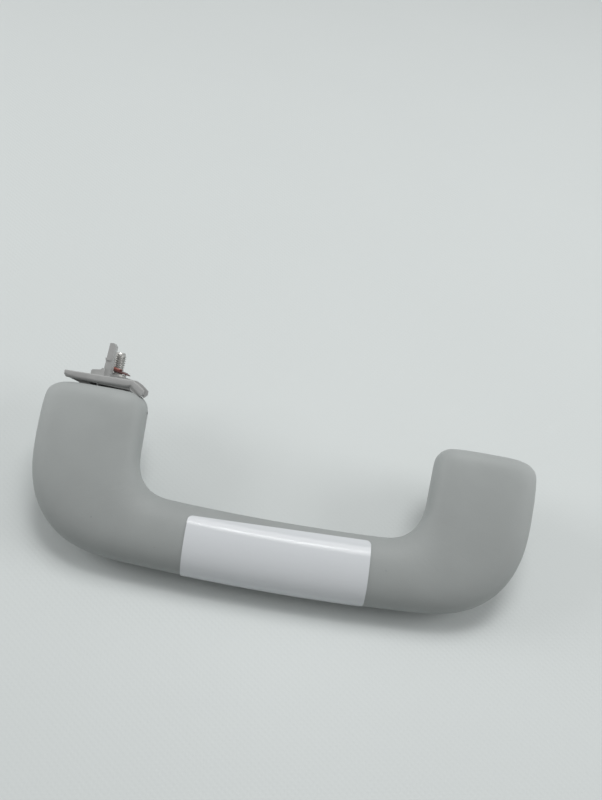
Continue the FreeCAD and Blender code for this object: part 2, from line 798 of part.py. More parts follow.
def return_spring():
    """Torsion spring: one leg stands in the pocket's slot, the other presses under the plate."""
    radius = float(d.spring_diameter / 2)
    wire = float(d.spring_wire / 2)
    pitch = float(d.spring_pitch)
    turns = float(d.spring_turns) + 0.25
    height = pitch * turns
    coil = Part.Wire(Part.makeHelix(pitch, height, radius).Edges)
    start = Vector(radius, 0, 0)
    profile = Part.Wire(Part.makeCircle(wire, start, Vector(0, 1, 0)))
    body = coil.makePipeShell([profile], True, True)
    fixed_reach = float(d.pocket_floor + d.slot_depth) - 0.4
    moving_reach = float(d.plate_inner_top - d.plate_skin) - 1.0
    fixed = Part.makeCylinder(wire, fixed_reach, Vector(0, radius, height), Vector(-1, 0, 0))
    moving = Part.makeCylinder(wire, moving_reach, start, Vector(0, -1, 0))
    whole = body.fuse([fixed, moving])
    upright = Placement(Vector(0, 0, -height / 2), Rotation())
    laid = Placement(Vector(0, 0, 0), Rotation(Vector(1, 1, 1), 120))
    spring = make("Part::Feature", "return_spring")
    spring.Shape = whole.Solids[0].transformed((laid * upright).toMatrix(), True)
    return spring


# Placing the pieces

def lowest(points, tilt):
    """Lowest height of the points when the legs are raised by this tilt."""
    s, c = math.sin(tilt), math.cos(tilt)
    return min(point.y * s + point.z * c for point in points)


def rest_tilt():
    """Tilt at which the shut right bracket's tab and the back of the handle both touch down."""
    back = []
    for station in stations():
        back += section_points(station, 1)
    lean = math.tan(math.radians(float(d.tab_lean)))
    y = float(hinge_y - d.tab_front - d.tab_depth)
    tip = [Vector(lean, y, -float(d.hinge_sink + d.tab_tip))]
    low, high = 0.0, math.radians(60)
    for _ in range(50):
        middle = (low + high) / 2
        if lowest(tip, middle) < lowest(back, middle):
            low = middle
        else:
            high = middle
    return (low + high) / 2


def turn_x(degrees):
    return Rotation(Vector(1, 0, 0), degrees)


NODES = {}


def place(label_text, thing, placement):
    thing.Label = label_text
    NODES[label_text] = (thing, placement)


def build():
    tilt = math.degrees(rest_tilt())
    hinge = Vector(0, float(hinge_y), -float(d.hinge_sink))
    seat = Vector(0, float(d.bolt_back), float(d.bolt_seat))
    at_handle = Placement(Vector(0, 0, 0), turn_x(0))
    place("handle_body", handle_body(), at_handle)
    place("label", label(), at_handle)
    shut = -180.0
    for side, tag, angle in ((-1, "left", shut + float(d.open_angle)), (1, "right", shut)):
        spot = Vector(side * float(bracket_x), hinge.y, hinge.z)
        on_hinge = Placement(spot, turn_x(angle))
        fixed_there = Placement(spot, turn_x(0))
        leaned = Rotation(Vector(0, 1, 0), -side * float(d.bolt_lean))
        on_bolt = on_hinge * Placement(seat, leaned)
        place(tag + "_bracket", bracket(side), on_hinge)
        place(tag + "_bolt", bolt(tag + "_bolt"), on_bolt)
        place(tag + "_bolt_sleeve", bolt_sleeve(tag + "_bolt_sleeve"), on_bolt)
        place(tag + "_bolt_retainer", bolt_retainer(tag + "_bolt_retainer"), on_bolt)
        place(tag + "_screw_cap", screw_cap(tag + "_screw_cap"), on_bolt)
        inset = d.left_pin_inset if side < 0 else d.right_pin_inset
        pin_start = float(d.gap_width / 2 + inset)
        pin_turn = turn_x(0) if side > 0 else Rotation(Vector(0, 0, 1), 180)
        pin_spot = Vector(side * pin_start, hinge.y, hinge.z)
        place(tag + "_hinge_pin", hinge_pin(tag + "_hinge_pin"), Placement(pin_spot, pin_turn))
        if side < 0:
            place("damper_housing", damper_housing(), fixed_there)
            place("damper_rotor", damper_rotor(), on_hinge)
        else:
            place("spring_bush", spring_bush(), fixed_there)
            place("return_spring", return_spring(), fixed_there)
    doc.recompute()
    settle(tilt)


def settle(tilt):
    """Tilts everything onto the table and sets the origin under the middle of the whole."""
    lean = Placement(Vector(0, 0, 0), turn_x(tilt))
    for thing, placement in NODES.values():
        thing.Placement = lean * placement
    doc.recompute()
    reach = FreeCAD.BoundBox()
    for thing, _ in NODES.values():
        reach.add(thing.Shape.optimalBoundingBox(False, False))
    shift = Placement(Vector(-reach.Center.x, -reach.Center.y, -reach.ZMin), turn_x(0))
    for thing, placement in NODES.values():
        thing.Placement = shift * lean * placement
    doc.recompute()
    print("tilt", round(tilt, 3), "size", reach.XLength, reach.YLength, reach.ZLength)
    print("shift", shift.Base)


def check_document():
    for thing in doc.Objects:
        if "Invalid" in thing.State or "Error" in thing.State:
            raise RuntimeError(thing.Name + " failed: " + str(thing.State))
    for name, (thing, _) in NODES.items():
        if thing.Shape.isNull() or not thing.Shape.isValid():
            raise RuntimeError(name + " has no valid shape")


def export():
    os.makedirs("parts", exist_ok=True)
    for name, (thing, _) in NODES.items():
        thing.Shape.exportStep("parts/" + name + ".step")
        print(name, "solids", len(thing.Shape.Solids), "volume", round(thing.Shape.Volume, 1))


build()
check_document()
export()
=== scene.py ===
"""Looks of a roof grab handle: finishes, brackets, a hinge pin, threaded bolts, washers and a table."""

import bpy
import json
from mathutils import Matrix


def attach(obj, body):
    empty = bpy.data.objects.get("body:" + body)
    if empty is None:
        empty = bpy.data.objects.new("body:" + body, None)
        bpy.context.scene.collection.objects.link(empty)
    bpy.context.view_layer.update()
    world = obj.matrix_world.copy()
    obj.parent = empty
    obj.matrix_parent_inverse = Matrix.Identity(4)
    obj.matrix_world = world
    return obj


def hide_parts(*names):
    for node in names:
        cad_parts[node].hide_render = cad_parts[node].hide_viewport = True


bl_info = {
    "name": "Roof Grab Handle Looks",
    "version": (1, 0, 0),
    "blender": (4, 5, 0),
    "location": "View3D > Sidebar > Grab Handle",
    "description": "Dresses the packed grab handle with its finishes, brackets and fastenings",
    "category": "Object",
}

import json
import math

import bmesh
import bpy
from bpy.props import FloatProperty, FloatVectorProperty, PointerProperty
from mathutils import Euler, Matrix, Vector

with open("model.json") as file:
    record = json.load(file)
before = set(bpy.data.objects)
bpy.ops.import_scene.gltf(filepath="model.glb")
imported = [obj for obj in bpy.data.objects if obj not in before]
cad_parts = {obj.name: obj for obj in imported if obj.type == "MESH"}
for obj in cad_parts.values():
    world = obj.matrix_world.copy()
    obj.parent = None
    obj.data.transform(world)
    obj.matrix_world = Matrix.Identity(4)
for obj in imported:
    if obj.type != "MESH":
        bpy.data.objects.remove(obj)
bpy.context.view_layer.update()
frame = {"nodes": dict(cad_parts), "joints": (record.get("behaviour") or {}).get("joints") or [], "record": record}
MM = 0.001
SIDES = ("left", "right")


# Left plate's front wall in millimetres: (x, z) and how far its rounding draws each corner in
PLATE_FRONT, PLATE_TOP, PLATE_LOW, WALL_BACK, LIP_SLANT = -8, 14.9, 11.25, -6.2, -0.2
WALL_ROUND_DEPTH, ROUND_STEPS, STRIP_SINK, TAB_FRONT, LEDGE_RISE, LEDGE_ROOT = 1.7, 7, 0.9, 1.4, 0.35, 0.2
WALL_OUTLINE = (
    (-16.9, 14.5, 0.5, -0.4), (-17.1, 13.0, 0.6, 0.1), (-16.3, 11.7, 1.0, 1.3),
    (-11.2, PLATE_LOW, 0.3, 1.4), (8.6, PLATE_LOW, 0.5, 1.4), (10.3, 11.4, 0.7, 1.4),
    (11.5, 11.8, 0.6, 1.5), (13.5, 10.5, 0.7, 1.1), (16.0, 8.7, 0.6, 0.9), (16.9, 8.1, 0.2, 1.0),
    (18.3, 9.6, -0.9, 0.4), (18.4, 11.3, -0.9, -0.2), (15.6, 13.5, -0.5, -0.7),
    (12.7, PLATE_TOP, -0.2, -0.5),
)
STRIP_OUTLINE = (
    (12.0, 10.4, 0, 0), (14.7, 8.8, 0, 0), (16.2, 8.6, 0, 0), (16.6, 9.4, 0, 0),
    (13.5, 11.2, 0, 0), (11.0, 12.5, 0, 0),
)
LEDGE_OUTLINE = ((-2.85, 21.7, 0, 0), (-0.6, 21.6, 0, 0), (-0.55, 22.35, 0, 0), (-2.8, 22.45, 0, 0))
PLATE_ROUNDING = 0.18

# Pin, bolt and washer in millimetres
PIN_RADIUS, PIN_END, PIN_LENGTH = 2, 19.4, 39.4
BOLT_SEAT, BOLT_TIP = (0, 13, 13), 13.4
THREAD_START, THREAD_PITCH, THREAD_RADIUS, THREAD_DEPTH, THREAD_STEPS = 5.4, 1, 3, 0.61, 32
TIP_CHAMFER, TIP_SLOPE = 1.6, 0.55
HEAD_RADIUS, HEAD_HEIGHT, SOCKET_RADIUS, SOCKET_DEPTH, NECK_RADIUS = 5.75, 3.2, 2.89, 2.2, 2.58
WASHER_LOW, WASHER_THICKNESS, WASHER_RADIUS, WASHER_SEAT, WASHER_DOME = 4.9, 0.55, 6, 4.4, 0.4
TONGUE_TOP, TONGUE_WIDTH, WASHER_SLIP = 6.25, 0.85, 0.4

# Hinge in the handle's own millimetres: from the grip's outer edge, and behind the leg's middle
HINGE_FROM_EDGE, HINGE_SINK = 63.8, 2.3

# Turns in degrees: the tongue about the bolt, and the washer's lean
TONGUE_START, TONGUE_SWEEP, WASHER_LEAN = -150, 96, 8

# Depths in millimetres between which the handle goes from painted shade on the grip to painted light on the legs,
# standing in for light that falls off towards the near side
SHADED_GRIP_DEPTH, LIT_LEG_DEPTH = -30, 20

# Colours of the pieces that hardly show
PIN_COLOUR, SPRING_COLOUR, DAMPER_COLOUR = (0.5, 0.5, 0.5), (0.3, 0.3, 0.31), (0.02, 0.02, 0.022)

# Table in metres, and lamps: name, power's property, width, depth and place, all aimed at the part
TABLE_HALF, TABLE_ROUGHNESS = 1.5, 0.45
LAMPS = (
    ("soft lamp", "lamp", 0.5, 0.5, (0.08, 0.38, 1.01)),
    ("left lamp", "side_lamps", 0.55, 0.55, (-0.95, 0.1, 0.5)),
    ("right lamp", "side_lamps", 0.55, 0.55, (0.95, 0.1, 0.5)),
    ("glint lamp", "glint_lamp", 0.27, 0.02, (0.0, 0.30, 1.05)),
)


# Places on the object, read from the frame
def hinge_row(side):
    """What the frame says of a hinge."""
    return next(row for row in frame["joints"] if row["name"] == side + "_hinge")


def mount_axis(name):
    """The outward direction of a mount."""
    mounts = frame["record"]["mounts"]
    return next(Vector(m["axis"]) for m in mounts if m["name"] == name)


HINGE = {side: Vector(hinge_row(side)["pos_m"]) for side in SIDES}
RIGHT_BOLT = mount_axis("right_bolt_thread")
HANDLE_TILT = math.atan2(RIGHT_BOLT.y, -RIGHT_BOLT.z)
OPEN_ANGLE = math.radians(-hinge_row("left")["range_deg"][0])
TO_METRES = Matrix.Diagonal((MM, MM, MM, 1))
HANDLE_TURN = Matrix.Rotation(HANDLE_TILT, 4, "X")
HANDLE_ORIGIN = Vector((0, HINGE["right"].y, HINGE["right"].z)) - HANDLE_TURN @ Vector(
    (0, HINGE_FROM_EDGE * MM, -HINGE_SINK * MM)
)
HANDLE = Matrix.Translation(HANDLE_ORIGIN) @ HANDLE_TURN @ TO_METRES
BRACKET_TURN = {"left": OPEN_ANGLE - math.pi, "right": -math.pi}


def bracket_frame(side):
    """Local millimetres of a bracket: x along the hinge, y to the handle's back, z along the bolt."""
    turn = HANDLE_TURN @ Matrix.Rotation(BRACKET_TURN[side], 4, "X")
    return Matrix.Translation(HINGE[side]) @ turn @ TO_METRES


# Shader maths
class Value:
    """A shader socket on which Python's operators become Math nodes."""

    def __init__(self, shading, socket):
        self.shading = shading
        self.socket = socket

    def math(self, operation, other):
        """One Math node of this value and another value or number."""
        inputs = {0: self, 1: other}
        return self.shading.node("ShaderNodeMath", {"operation": operation}, inputs)

    def __add__(self, other):
        return self.math("ADD", other)

    def __mul__(self, other):
        return self.math("MULTIPLY", other)

    def over(self, start, end):
        """Rises smoothly from 0 at start to 1 at end."""
        settings = {"interpolation_type": "SMOOTHSTEP"}
        inputs = {"Value": self, "From Min": start, "From Max": end}
        return self.shading.node("ShaderNodeMapRange", settings, inputs)


class Shading:
    """A node tree that is filled node by node."""

    def __init__(self, tree):
        self.tree = tree

    def node(self, kind, settings, inputs, output=0):
        """Adds a node, sets its properties first and then its sockets, and returns one output."""
        made = self.tree.nodes.new(kind)
        for name, value in settings.items():
            setattr(made, name, value)
        for name, value in inputs.items():
            self.feed(made.inputs[name], value)
        return Value(self, made.outputs[output])

    def feed(self, socket, value):
        """Links a Value to a socket, or sets a plain number or colour on it."""
        if isinstance(value, Value):
            self.tree.links.new(value.socket, socket)
        elif socket.type == "RGBA":
            socket.default_value = (*value, 1)
        else:
            socket.default_value = value


class Finish(Shading):
    """A material built on a Principled shader."""

    def __init__(self, name, **sockets):
        self.material = bpy.data.materials.new(name + "_finish")
        self.material.use_nodes = True
        super().__init__(self.material.node_tree)
        self.shader = self.tree.nodes["Principled BSDF"]
        for socket, value in sockets.items():
            self.set(socket.replace("_", " ").title().replace("Ior", "IOR"), value)
        self.place = self.node("ShaderNodeTexCoord", {}, {}, "Object")

    def set(self, socket, value):
        """Feeds one socket of the Principled shader."""
        self.feed(self.shader.inputs[socket], value)

    def noise(self, per_mm, detail, roughness=0.5):
        """Noise with about this many features per millimetre."""
        inputs = {"Vector": self.place, "Scale": per_mm / MM, "Detail": detail, "Roughness": roughness}
        return self.node("ShaderNodeTexNoise", {}, inputs)

    def woven(self, pitch_mm, degrees):
        """Two crossing sets of fine ridges, each this far apart."""
        place = self.node("ShaderNodeMapping", {}, {
            "Vector": self.place, "Rotation": (0, 0, math.radians(degrees))})
        scale = 2 * math.pi / 20 / (pitch_mm * MM)
        inputs = {"Vector": place, "Scale": scale, "Distortion": 0.6}
        along, across = [
            self.node("ShaderNodeTexWave", {"bands_direction": axis}, inputs, "Fac")
            for axis in ("X", "Y")]
        return along * across

    def blend(self, share, first, second):
        """Mixes two colours by a share from 0 to 1."""
        settings = {"data_type": "RGBA"}
        return self.node("ShaderNodeMix", settings, {0: share, 6: first, 7: second}, 2)

    def bump(self, height, depth_mm, strength):
        """Raises the surface by height times this depth."""
        inputs = {"Height": height, "Distance": depth_mm * MM, "Strength": strength}
        self.set("Normal", self.node("ShaderNodeBump", {}, inputs))


def shade(colour, factor):
    """A colour made darker or lighter."""
    return tuple(channel * factor for channel in colour)


# Finishes
def handle_plastic(look):
    """Matte moulded plastic: fine grain, faint mottling, small dark scuffs, and painted shade on the grip against
    painted light on the legs.
    """
    finish = Finish("handle_plastic", specular_ior_level=0.4)
    colour = look.handle_colour
    cloud = finish.noise(0.03, 3)
    grain = finish.noise(2.4, 2, 0.6)
    # Painted light and shade: a lit and a shaded copy of the colour, the shaded one on the grip and the lit one on
    # the legs, stand in for light falling off towards the near side
    lighter = finish.blend(cloud.over(0.35, 0.65), shade(colour, 1.04), shade(colour, 1.11))
    darker = finish.blend(cloud.over(0.35, 0.65), shade(colour, 0.87), shade(colour, 0.93))
    depth = finish.node("ShaderNodeSeparateXYZ", {}, {"Vector": finish.place}, "Y")
    tone = finish.blend(depth.over(SHADED_GRIP_DEPTH * MM, LIT_LEG_DEPTH * MM), darker, lighter)
    specks = finish.noise(0.16, 2, 0.7).over(0.735, 0.775)
    finish.set("Base Color", finish.blend(specks * 0.35, tone, shade(colour, 0.45)))
    finish.set("Roughness", finish.noise(0.5, 2) * 0.12 + look.handle_roughness)
    finish.bump(grain, 0.05, 0.8)
    return finish.material


def bracket_plastic(look):
    """Smoother moulded plastic of the bracket and caps."""
    finish = Finish("bracket_plastic", specular_ior_level=0.45)
    colour = look.bracket_colour
    cloud = finish.noise(0.12, 3)
    finish.set("Base Color", finish.blend(cloud.over(0.3, 0.7), shade(colour, 0.93), shade(colour, 1.06)))
    finish.set("Roughness", finish.noise(0.8, 2) * 0.14 + 0.36)
    finish.bump(finish.noise(1.2, 3, 0.55), 0.02, 0.35)
    return finish.material


def label_film(look):
    """Glossy white film, a little uneven where it bridges the grain."""
    finish = Finish("label_film", specular_ior_level=0.28)
    colour = look.label_colour
    cloud = finish.noise(0.05, 2)
    finish.set("Base Color", finish.blend(cloud, shade(colour, 0.985), colour))
    finish.set("Roughness", finish.noise(0.2, 2) * 0.05 + look.label_roughness)
    finish.bump(finish.noise(0.06, 2), 0.12, 0.5)
    return finish.material


def metal(name, colour, roughness):
    """Plated or drawn steel with fine mottling."""
    finish = Finish(name, metallic=1.0)
    cloud = finish.noise(0.9, 4, 0.6)
    finish.set("Base Color", finish.blend(cloud.over(0.3, 0.7), shade(colour, 0.82), colour))
    finish.set("Roughness", cloud * 0.1 + roughness)
    finish.bump(finish.noise(3.0, 2), 0.01, 0.15)
    return finish.material


def retainer_plastic(look):
    """Dark red plastic, with a painted highlight: the tongue, the washer's upper part, is painted a lighter red.
    """
    colour = look.retainer_colour
    finish = Finish("retainer_plastic")
    thin = finish.node("ShaderNodeAttribute", {"attribute_name": "tongue"}, {}, 2)
    solid = finish.blend(finish.noise(0.5, 3), shade(colour, 0.8), shade(colour, 1.15))
    # Painted highlight: the tongue is painted a lighter red
    finish.set("Base Color", finish.blend(thin * 0.8, solid, look.tongue_highlight_colour))
    finish.set("Roughness", finish.noise(1.0, 2) * 0.1 + 0.3)
    return finish.material


def damper_plastic(_):
    """Black moulded plastic."""
    finish = Finish("damper_plastic")
    cloud = finish.noise(0.2, 3)
    finish.set("Base Color", finish.blend(cloud, DAMPER_COLOUR, shade(DAMPER_COLOUR, 1.6)))
    finish.set("Roughness", finish.noise(0.8, 2) * 0.15 + 0.35)
    return finish.material


FINISHES = {
    "handle_plastic": handle_plastic,
    "bracket_plastic": bracket_plastic,
    "label_film": label_film,
    "bolt_steel": lambda look: metal("bolt_steel", look.steel_colour, 0.38),
    "pin_steel": lambda _: metal("pin_steel", PIN_COLOUR, 0.22),
    "spring_steel": lambda _: metal("spring_steel", SPRING_COLOUR, 0.32),
    "retainer_plastic": retainer_plastic,
    "damper_plastic": damper_plastic,
}


def finish_for(slot):
    """The material of a slot, made the first time that it is asked for."""
    found = bpy.data.materials.get(slot + "_finish")
    return found or FINISHES[slot](bpy.context.scene.grab_handle_look)


def node_slot(name):
    """The material slot that the record gives a node."""
    return next(p["material_slot"] for p in frame["record"]["subparts"] if p["node"] == name)


# Pieces
def finished(name, mesh, slot, body, *nodes):
    """Makes an object of a bmesh whose points are in the shared frame, and hangs it on its body."""
    bmesh.ops.remove_doubles(mesh, verts=mesh.verts, dist=1e-7)
    bmesh.ops.recalc_face_normals(mesh, faces=mesh.faces)
    data = bpy.data.meshes.new(name)
    mesh.to_mesh(data)
    mesh.free()
    data.shade_smooth()
    data.materials.append(finish_for(slot))
    piece = bpy.data.objects.new(name, data)
    bpy.context.scene.collection.objects.link(piece)
    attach(piece, body)
    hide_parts(*nodes)
    return piece


def sharpen(piece, degrees):
    """Keeps the edges crisp that turn more than this."""
    piece.data.set_sharp_from_angle(angle=math.radians(degrees))


def bevel_edges(piece, width_mm, segments, degrees):
    """Rounds the edges that turn more than this."""
    bevel = piece.modifiers.new("rounded edges", "BEVEL")
    bevel.width = width_mm * MM
    bevel.segments = segments
    bevel.limit_method = "ANGLE"
    bevel.angle_limit = math.radians(degrees)
    bevel.harden_normals = True


def copied(node):
    """A merged copy of a CAD node's mesh."""
    mesh = bmesh.new()
    mesh.from_mesh(frame["nodes"][node].data)
    bmesh.ops.remove_doubles(mesh, verts=mesh.verts, dist=2e-6)
    bmesh.ops.dissolve_degenerate(mesh, edges=mesh.edges, dist=1e-6)
    return mesh


def turned(profile, steps=48):
    """A closed bmesh turned about z from (radius, height) points that start and end on the axis."""
    mesh = bmesh.new()
    corners = [mesh.verts.new((radius, 0, height)) for radius, height in profile]
    edges = [mesh.edges.new(pair) for pair in zip(corners, corners[1:])]
    bmesh.ops.spin(mesh, geom=corners + edges, cent=(0, 0, 0), axis=(0, 0, 1),
                   angle=2 * math.pi, steps=steps, use_merge=True)
    bmesh.ops.remove_doubles(mesh, verts=mesh.verts, dist=1e-4)
    return mesh


def slab(outline, front, back, round_depth=0.0):
    """A closed bmesh drawn from back to front along y, its front edges rounded by a quarter ellipse.

    The outline's corners are (x, z, across, up). The last two say how far the rounding draws them in.
    """
    mesh = bmesh.new()
    # Each corner keeps its place in the outline through the extrusions
    number = mesh.verts.layers.int.new("corner")
    rings = [(front + round_depth, 0.0)]
    if round_depth:
        for step in range(1, ROUND_STEPS + 1):
            turn = math.pi / 2 * step / ROUND_STEPS
            rings.append((front + round_depth * (1 - math.sin(turn)), 1 - math.cos(turn)))
    corners = [mesh.verts.new((x + (back - front) * LIP_SLANT, back, z)) for x, z, _, _ in outline]
    for index, corner in enumerate(corners):
        corner[number] = index
    face = mesh.faces.new(corners)
    for y, drawn in rings:
        last = face
        geometry = bmesh.ops.extrude_face_region(mesh, geom=[face])["geom"]
        face = next(part for part in geometry if isinstance(part, bmesh.types.BMFace))
        # An extrusion leaves its old face inside; only the one at the back closes the slab
        if y != rings[0][0]:
            bmesh.ops.delete(mesh, geom=[last], context="FACES_ONLY")
        for corner in face.verts:
            x, z, across, up = outline[corner[number]]
            corner.co = (x + (y - front) * LIP_SLANT + across * drawn, y, z + up * drawn)
    mesh.verts.layers.int.remove(number)
    bmesh.ops.recalc_face_normals(mesh, faces=mesh.faces)
    return mesh


def lipped_front():
    """Front wall of the left plate with its bent lip, the sunk strip beside it and the tab's ledge."""
    wall = slab(WALL_OUTLINE, PLATE_FRONT, WALL_BACK, WALL_ROUND_DEPTH)
    join(wall, slab(STRIP_OUTLINE, PLATE_FRONT + STRIP_SINK, WALL_BACK))
    join(wall, slab(LEDGE_OUTLINE, TAB_FRONT - LEDGE_RISE, TAB_FRONT + LEDGE_ROOT))
    return wall


def bracket(side):
    """The bracket's moulding with its edges rounded; the left one gets its lipped front wall."""
    node = side + "_bracket"
    mesh = copied(node)
    mesh.transform(bracket_frame(side).inverted())
    bmesh.ops.dissolve_limit(mesh, angle_limit=math.radians(0.5), verts=mesh.verts, edges=mesh.edges)
    if side == "left":
        geometry = mesh.verts[:] + mesh.edges[:] + mesh.faces[:]
        bmesh.ops.bisect_plane(mesh, geom=geometry, plane_co=(0, WALL_BACK - 0.1, 0),
                               plane_no=(0, -1, 0), clear_outer=True)
        bmesh.ops.holes_fill(mesh, edges=[edge for edge in mesh.edges if edge.is_boundary], sides=0)
        join(mesh, lipped_front())
    mesh.transform(bracket_frame(side))
    piece = finished(side + "_bracket_moulding", mesh, "bracket_plastic", side + "_mount", node)
    sharpen(piece, 28)
    bevel_edges(piece, PLATE_ROUNDING, 2, 40)


def left_pin():
    """The left hinge pin, whose domed end shows in the leg's inner face."""
    end, far = PIN_END, PIN_END - PIN_LENGTH
    mesh = turned([(0, far), (1.6, far), (PIN_RADIUS, far + 0.4), (PIN_RADIUS, end - 0.5),
                   (PIN_RADIUS - 0.15, end - 0.2), (PIN_RADIUS - 0.5, end), (0, end)], 40)
    lie = Matrix.Rotation(math.pi / 2, 4, "Y")
    mesh.transform(Matrix.Translation(HINGE["left"]) @ TO_METRES @ lie)
    piece = finished("left_pin", mesh, "pin_steel", "grip", "left_hinge_pin")
    sharpen(piece, 40)


def bolt_frame(side):
    """Local millimetres of a bolt: z along it from the seat of its head."""
    axis = mount_axis(side + "_bolt_thread")
    across = (Vector((1, 0, 0)) - axis * axis.x).normalized()
    turn = Matrix((across, axis.cross(across), axis)).transposed().to_4x4()
    seat = bracket_frame(side) @ Vector(BOLT_SEAT)
    return Matrix.Translation(seat) @ turn @ TO_METRES


def thread():
    """A right-hand thread with its chamfered tip, closed at both ends."""
    mesh = bmesh.new()
    root = THREAD_RADIUS - THREAD_DEPTH
    flanks = ((root, 0), (root, 0.12), (THREAD_RADIUS, 0.43), (THREAD_RADIUS, 0.57), (root, 0.88), (root, 1))
    start = THREAD_START - 2 * THREAD_PITCH
    corners = [mesh.verts.new((r, 0, start + share * THREAD_PITCH)) for r, share in flanks]
    edges = [mesh.edges.new(pair) for pair in zip(corners, corners[1:])]
    turns = math.ceil((BOLT_TIP - start) / THREAD_PITCH) + 1
    bmesh.ops.spin(mesh, geom=corners + edges, cent=(0, 0, 0), axis=(0, 0, 1),
                   dvec=(0, 0, THREAD_PITCH / THREAD_STEPS), angle=2 * math.pi * turns,
                   steps=turns * THREAD_STEPS, use_merge=False)
    bmesh.ops.remove_doubles(mesh, verts=mesh.verts, dist=0.003)
    for height, outwards in ((THREAD_START, -1), (BOLT_TIP, 1)):
        geometry = mesh.verts[:] + mesh.edges[:] + mesh.faces[:]
        bmesh.ops.bisect_plane(mesh, geom=geometry, plane_co=(0, 0, height),
                               plane_no=(0, 0, outwards), clear_outer=True)
        rim = [edge for edge in mesh.edges if edge.is_boundary]
        rim = [edge for edge in rim if all(abs(v.co.z - height) < 0.001 for v in edge.verts)]
        bmesh.ops.holes_fill(mesh, edges=rim, sides=0)
    for corner in mesh.verts:
        radius = corner.co.xy.length
        room = THREAD_RADIUS - max(0, corner.co.z - BOLT_TIP + TIP_CHAMFER) * TIP_SLOPE
        if radius > room:
            corner.co.xy *= room / radius
    return mesh


def join(mesh, other):
    """Adds another bmesh to this one."""
    data = bpy.data.meshes.new("joined")
    other.to_mesh(data)
    other.free()
    mesh.from_mesh(data)
    bpy.data.meshes.remove(data)


def socket_head():
    """The bolt's round head with its hexagon socket, and the plain neck above it."""
    head = HEAD_RADIUS
    mesh = turned([(SOCKET_RADIUS + 0.4, -HEAD_HEIGHT), (head - 0.7, -HEAD_HEIGHT),
                   (head - 0.2, 0.2 - HEAD_HEIGHT), (head, 0.7 - HEAD_HEIGHT), (head, -0.15),
                   (head - 0.15, 0), (NECK_RADIUS, 0), (NECK_RADIUS, THREAD_START + 0.1),
                   (0, THREAD_START + 0.1)])
    rim = [edge for edge in mesh.edges if edge.is_boundary]
    ring = bmesh.ops.create_circle(mesh, segments=6, radius=SOCKET_RADIUS)["verts"]
    bmesh.ops.translate(mesh, vec=(0, 0, -HEAD_HEIGHT), verts=ring)
    sides = list({edge for corner in ring for edge in corner.link_edges})
    bmesh.ops.subdivide_edges(mesh, edges=sides, cuts=7)
    loop = [edge for edge in mesh.edges if edge.is_wire]
    bmesh.ops.bridge_loops(mesh, edges=rim + loop)
    mouth = [edge for edge in mesh.edges if edge.is_boundary]
    walls = bmesh.ops.extrude_edge_only(mesh, edges=mouth)["geom"]
    floor = [part for part in walls if isinstance(part, bmesh.types.BMVert)]
    bmesh.ops.translate(mesh, vec=(0, 0, SOCKET_DEPTH), verts=floor)
    bmesh.ops.holes_fill(mesh, edges=[edge for edge in mesh.edges if edge.is_boundary], sides=0)
    return mesh


def bolt(side):
    """A plated bolt with a rolled thread."""
    mesh = socket_head()
    join(mesh, thread())
    mesh.transform(bolt_frame(side))
    piece = finished(side + "_threaded_bolt", mesh, "bolt_steel", side + "_mount", side + "_bolt")
    sharpen(piece, 40)


def arc(profile, start, sweep, steps=16):
    """A closed bmesh swept part of the way round z from a closed loop of (radius, height) points."""
    mesh = bmesh.new()
    corners = [mesh.verts.new((radius, 0, height)) for radius, height in profile]
    face = mesh.faces.new(corners)
    bmesh.ops.rotate(mesh, verts=corners, cent=(0, 0, 0), matrix=Matrix.Rotation(start, 3, "Z"))
    bmesh.ops.spin(mesh, geom=[face], cent=(0, 0, 0), axis=(0, 0, 1), angle=sweep, steps=steps)
    return mesh


def retainer(side):
    """The thin red washer that keeps the bolt in: it sits askew, with a tongue up along the thread."""
    low, dome, outer = WASHER_LOW, WASHER_DOME, WASHER_RADIUS
    top = low + WASHER_THICKNESS
    bore = NECK_RADIUS + WASHER_SLIP + 0.05
    mesh = turned([(bore, low), (WASHER_SEAT, low), (outer - 0.15, low - dome), (outer, low - dome + 0.15),
                   (outer, top - dome - 0.2), (outer - 0.15, top - dome - 0.1), (WASHER_SEAT, top),
                   (bore + 0.3, top + 0.1), (bore, top), (bore, low)], 64)
    near = THREAD_RADIUS + WASHER_SLIP + 0.1
    far = near + TONGUE_WIDTH
    tongue = arc([(near, top - 0.3), (far, top - 0.3), (far, TONGUE_TOP - 0.3),
                  (far - 0.3, TONGUE_TOP), (near, TONGUE_TOP)],
                 math.radians(TONGUE_START), math.radians(TONGUE_SWEEP))
    join(mesh, tongue)
    lean = WASHER_LEAN if side == "left" else -WASHER_LEAN
    slip = math.copysign(WASHER_SLIP, lean)
    mesh.transform(Matrix.Translation((slip, 0, low)) @ Matrix.Rotation(math.radians(lean), 4, "Y")
                   @ Matrix.Translation((0, 0, -low)))
    # Marks the tongue, which the finish paints lighter red as a painted highlight
    thin = mesh.verts.layers.float.new("tongue")
    for corner in mesh.verts:
        corner[thin] = 1.0 if corner.co.z > top + 0.3 else 0.0
    mesh.transform(bolt_frame(side))
    piece = finished(side + "_washer", mesh, "retainer_plastic", side + "_mount", side + "_bolt_retainer")
    sharpen(piece, 40)


